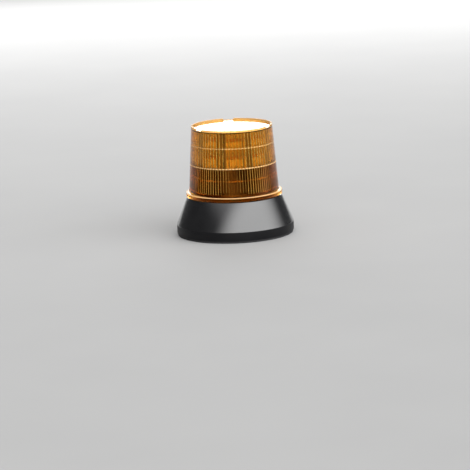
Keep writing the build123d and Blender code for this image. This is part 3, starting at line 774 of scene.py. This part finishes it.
chrome = finish_material(
    "reflector_chrome", (0.86, 0.86, 0.84), (0.93, 0.93, 0.91),
    grain=0.006, rough=(0.24, 0.32), bump=0.00001, metallic=0.7,
)
first_reflector = make_reflector()
first_reflector.data.materials.append(chrome)
for number in range(1, 9):
    piece = first_reflector.copy()
    piece.data = first_reflector.data.copy()
    piece.name = f"reflector_skin_{number}"
    bpy.context.scene.collection.objects.link(piece)
    piece.data.transform(Matrix.Rotation(radians(-90 + 45 * (number - 1)), 4, "Z"))
    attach(piece, "base")
    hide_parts(f"reflector_{number}")
bpy.data.objects.remove(first_reflector)


# Lens
# The amber dome over the tower, with a flange at its foot, ribs inside and a shallow drained rim on top.
# It is one clear polycarbonate moulding that locks on the base's collar with four lugs.
lens_columns = 800
lens_low, lens_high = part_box("lens_dome")
flange_radius = lens_high.x
lens_bottom, lens_top = lens_low.z, lens_high.z
flange_top = lens_bottom + 0.0050
foot_radius = 0.0577
bore_radius = 0.0543
bore_top = lens_bottom + 0.0080
rim_outer = 0.0518
rim_inner = rim_outer - 0.0016
lens_floor = lens_top - 0.0024
lens_underside = lens_floor - 0.0018
lens_wall = 0.0022
lower_ribs, lower_rib_depth = 100, 0.00095
upper_ribs, upper_rib_depth = 80, 0.0009
rib_fullness = 1.6
rib_change = reflector_bottom + 0.0022
rib_change_top = rib_change + 0.0001
lug_bottom = lens_bottom + 0.0015
lug_top = lug_bottom + 0.0030
lug_radius = bore_radius - 0.0027
lug_half_angle = 8.0
notch_depth = 0.0018
notch_half_width = 0.0065
notch_angles = (90, 210, 330)
bore_slack, height_slack = 0.0001, 0.00001
lens_rounds = [
    ((flange_radius, flange_top), 0.0018),
    ((flange_radius, lens_bottom), 0.0005),
    ((foot_radius, flange_top), 0.0012),
]
lens_smooth_angle = 32


def wall_radius(height):
    """Outer radius of the lens wall at a height."""
    return foot_radius - (height - flange_top) * (foot_radius - rim_outer) / (lens_top - flange_top)


def rib_share(step, steps):
    """How far a rib stands in, from 0 in the groove to 1 on the crest."""
    across = abs(2 * step / steps - 1)
    return 1 - across ** rib_fullness


def column(vert):
    """Which of the ring's columns a vertex stands in."""
    return round(atan2(vert.co.y, vert.co.x) / (2 * pi) * lens_columns) % lens_columns


def flute_ring(height, ribs, rib_depth):
    """Shapes the plain inner ring at a height into the section of so many ribs."""
    steps = lens_columns // ribs
    valley = wall_radius(height) - lens_wall
    for step in range(1, steps // 2 + 1):
        share = 1 - rib_depth * rib_share(step, steps) / valley
        wanted = {step, steps - step}
        pick("verts", lambda vert: on_ring(vert, valley, height) and column(vert) % steps in wanted)
        bpy.ops.transform.resize(value=(share, share, 1), center_override=(0, 0, 0))


def on_lug(face):
    """True for the faces of the bore that the four lugs grow from."""
    middle = face.calc_center_median()
    off_lug = abs((degrees(atan2(middle.y, middle.x)) + 45) % 90 - 45)
    in_bore = abs(hypot(middle.x, middle.y) - bore_radius) < bore_slack and lug_bottom < middle.z < lug_top
    return in_bore and off_lug < lug_half_angle


lens = begin("lens_skin", lens_columns, rim_inner, lens_floor)
turn_profile([
    (rim_inner, lens_floor),
    (rim_inner, lens_top),
    (rim_outer, lens_top),
    (foot_radius, flange_top),
    (flange_radius, flange_top),
    (flange_radius, lens_bottom),
    (bore_radius, lens_bottom),
    (bore_radius, lug_bottom),
    (bore_radius, lug_top),
    (bore_radius, bore_top),
    (wall_radius(bore_top) - lens_wall, bore_top),
    (wall_radius(rib_change) - lens_wall, rib_change),
    (wall_radius(rib_change) - lens_wall, rib_change_top),
    (wall_radius(lens_underside) - lens_wall, lens_underside),
])
bpy.ops.mesh.edge_face_add()
pick("verts", lambda vert: on_ring(vert, rim_inner, lens_floor))
bpy.ops.mesh.edge_face_add()
pick("faces", on_lug)
bpy.ops.mesh.extrude_region_move(TRANSFORM_OT_translate={"value": (0, 0, 0)})
bpy.ops.transform.resize(value=(lug_radius / bore_radius, lug_radius / bore_radius, 1), center_override=(0, 0, 0))
for height in (bore_top, rib_change):
    flute_ring(height, lower_ribs, lower_rib_depth)
for height in (rib_change_top, lens_underside):
    flute_ring(height, upper_ribs, upper_rib_depth)
for angle in notch_angles:
    along = Vector((cos(radians(angle)), sin(radians(angle)), 0))
    across = Vector((-sin(radians(angle)), cos(radians(angle)), 0))
    pick("verts", lambda vert: abs(vert.co.z - lens_top) < height_slack
         and vert.co.dot(along) > 0 and abs(vert.co.dot(across)) < notch_half_width)
    bpy.ops.transform.translate(value=(0, 0, -notch_depth))
round_rings(lens_rounds)
bpy.ops.mesh.select_all(action="SELECT")
bpy.ops.mesh.normals_make_consistent(inside=False)
bpy.ops.object.mode_set(mode="OBJECT")
bpy.ops.object.shade_smooth_by_angle(angle=radians(lens_smooth_angle))

deep_amber = (0.84, 0.27, 0.02, 1)
light_amber = (1.0, 0.63, 0.13, 1)
# Painted highlight colour, used on the flange's top edge, the rim and two lines round the wall.
painted_highlight_amber = (1.0, 0.64, 0.31, 1)
amber_reflection = (1.0, 0.34, 0.04, 1)
haze_scale = 60.0
upper_painted_light, rib_lightness, haze_lightness, least_lightness = 0.55, 0.42, 0.3, 0.1
haze_dashes, rib_dashes, least_dash = 0.6, 0.22, 0.4
upper_line_share, rim_highlight, flange_dullness = 0.65, 0.5, 0.3
haze_roughness, matt_roughness, least_roughness = 0.05, 0.36, 0.02
highlight_cover, upper_cover = 0.86, 0.05
skin_depth, flange_start, rim_start = 0.0008, 0.0012, 0.0003
lower_line, upper_line = 0.0919, 0.1176
line_half_width, line_edge = 0.0009, 0.0003
flange_band_half_width, flange_band_edge = 0.0009, 0.0004


def band(tree, value, middle, half_width, edge):
    """One near the middle value, falling to nothing at half a width from it."""
    distance = work_out(tree, "ABSOLUTE", work_out(tree, "SUBTRACT", value, middle))
    node = tree.nodes.new("ShaderNodeMapRange")
    node.inputs["From Min"].default_value = half_width
    node.inputs["From Max"].default_value = half_width - edge
    tree.links.new(distance, node.inputs["Value"])
    return node.outputs["Result"]


def lens_material():
    """Clear amber plastic, with painted highlights on the flange's top edge, the rim and two fine lines round the
    wall, and painted light on its upper part.
    """
    material = bpy.data.materials.new("lens_amber")
    material.use_nodes = True
    tree = material.node_tree
    shader = tree.nodes["Principled BSDF"]
    shader.inputs["IOR"].default_value = 1.45
    shader.inputs["Specular Tint"].default_value = amber_reflection
    place = tree.nodes.new("ShaderNodeTexCoord")
    axes = tree.nodes.new("ShaderNodeSeparateXYZ")
    tree.links.new(place.outputs["Object"], axes.inputs["Vector"])
    x, y, z = (axes.outputs[name] for name in "XYZ")
    noise = tree.nodes.new("ShaderNodeTexNoise")
    noise.inputs["Scale"].default_value = haze_scale
    tree.links.new(place.outputs["Object"], noise.inputs["Vector"])
    haze = noise.outputs["Fac"]

    # Where on the lens: the distance out from the sloping wall tells the wall from the flange.
    radius = work_out(tree, "SQRT", work_out(
        tree, "ADD", work_out(tree, "POWER", x, 2.0), work_out(tree, "POWER", y, 2.0)
    ))
    slope = (foot_radius - rim_outer) / (lens_top - flange_top)
    rise = work_out(tree, "SUBTRACT", z, flange_top)
    out = work_out(tree, "ADD", radius, work_out(tree, "MULTIPLY", rise, slope))
    on_wall = work_out(tree, "GREATER_THAN", out, foot_radius - skin_depth)
    on_flange = work_out(tree, "GREATER_THAN", out, foot_radius + flange_start)
    on_rim = work_out(tree, "GREATER_THAN", z, lens_floor + rim_start)
    in_upper = work_out(tree, "GREATER_THAN", z, rib_change)

    # The tint is lighter in the grooves between the ribs, and the whole upper part is painted lighter, standing
    # for light from the lit reflectors behind.
    turn = work_out(tree, "ARCTAN2", y, x)
    upper_waves = work_out(tree, "COSINE", work_out(tree, "MULTIPLY", turn, float(upper_ribs)))
    lower_waves = work_out(tree, "COSINE", work_out(tree, "MULTIPLY", turn, float(lower_ribs)))
    change = work_out(tree, "MULTIPLY", in_upper, work_out(tree, "SUBTRACT", upper_waves, lower_waves))
    waves = work_out(tree, "ADD", lower_waves, change)
    lightness = work_out(tree, "MULTIPLY_ADD", waves, rib_lightness, least_lightness)
    # Painted light: the whole upper part of the lens is lighter.
    lightness = work_out(tree, "MULTIPLY_ADD", in_upper, upper_painted_light, lightness)
    lightness = work_out(tree, "MULTIPLY_ADD", haze, haze_lightness, lightness)
    tint = tree.nodes.new("ShaderNodeValToRGB")
    tint.color_ramp.elements[0].color = deep_amber
    tint.color_ramp.elements[1].color = light_amber
    tree.links.new(lightness, tint.inputs["Fac"])

    # The painted highlight lines are broken up by the ribs.
    dashes = work_out(tree, "MULTIPLY_ADD", upper_waves, rib_dashes, least_dash)
    dashes = work_out(tree, "MULTIPLY_ADD", haze, haze_dashes, dashes)
    # Two painted highlight lines run round the wall.
    on_lower_line = band(tree, z, lower_line, line_half_width, line_edge)
    on_upper_line = band(tree, z, upper_line, line_half_width, line_edge)
    lines = work_out(tree, "MULTIPLY_ADD", on_upper_line, upper_line_share, on_lower_line)
    line_highlight = work_out(tree, "MULTIPLY", work_out(tree, "MULTIPLY", lines, dashes), on_wall)
    # A painted highlight runs along the flange's top edge.
    flange_band = band(tree, z, flange_top, flange_band_half_width, flange_band_edge)
    flange_highlight = work_out(tree, "MULTIPLY", flange_band, on_flange)
    painted_highlight = work_out(tree, "MAXIMUM", line_highlight, flange_highlight)
    # The rim gets half the painted highlight.
    painted_highlight = work_out(tree, "MAXIMUM", painted_highlight, work_out(tree, "MULTIPLY", on_rim, rim_highlight))

    # The painted highlights, the rim and the flange are rougher, and the painted highlights let less light
    # through.
    matt = work_out(tree, "MAXIMUM", painted_highlight, on_rim)
    matt = work_out(tree, "MAXIMUM", matt, work_out(tree, "MULTIPLY", on_flange, flange_dullness))
    roughness = work_out(tree, "MULTIPLY_ADD", matt, matt_roughness, least_roughness)
    roughness = work_out(tree, "MULTIPLY_ADD", haze, haze_roughness, roughness)
    tree.links.new(roughness, shader.inputs["Roughness"])
    clearness = work_out(tree, "MULTIPLY_ADD", in_upper, -upper_cover, 1.0)
    clearness = work_out(tree, "MULTIPLY_ADD", painted_highlight, -highlight_cover, clearness)
    tree.links.new(work_out(tree, "MAXIMUM", clearness, 0.0), shader.inputs["Transmission Weight"])
    colour = tree.nodes.new("ShaderNodeMix")
    colour.data_type = "RGBA"
    colour.inputs["B"].default_value = painted_highlight_amber
    tree.links.new(painted_highlight, colour.inputs["Factor"])
    tree.links.new(tint.outputs["Color"], colour.inputs["A"])
    tree.links.new(colour.outputs["Result"], shader.inputs["Base Color"])
    return material


lens.data.materials.append(lens_material())
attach(lens, "lens")
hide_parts("lens_dome")
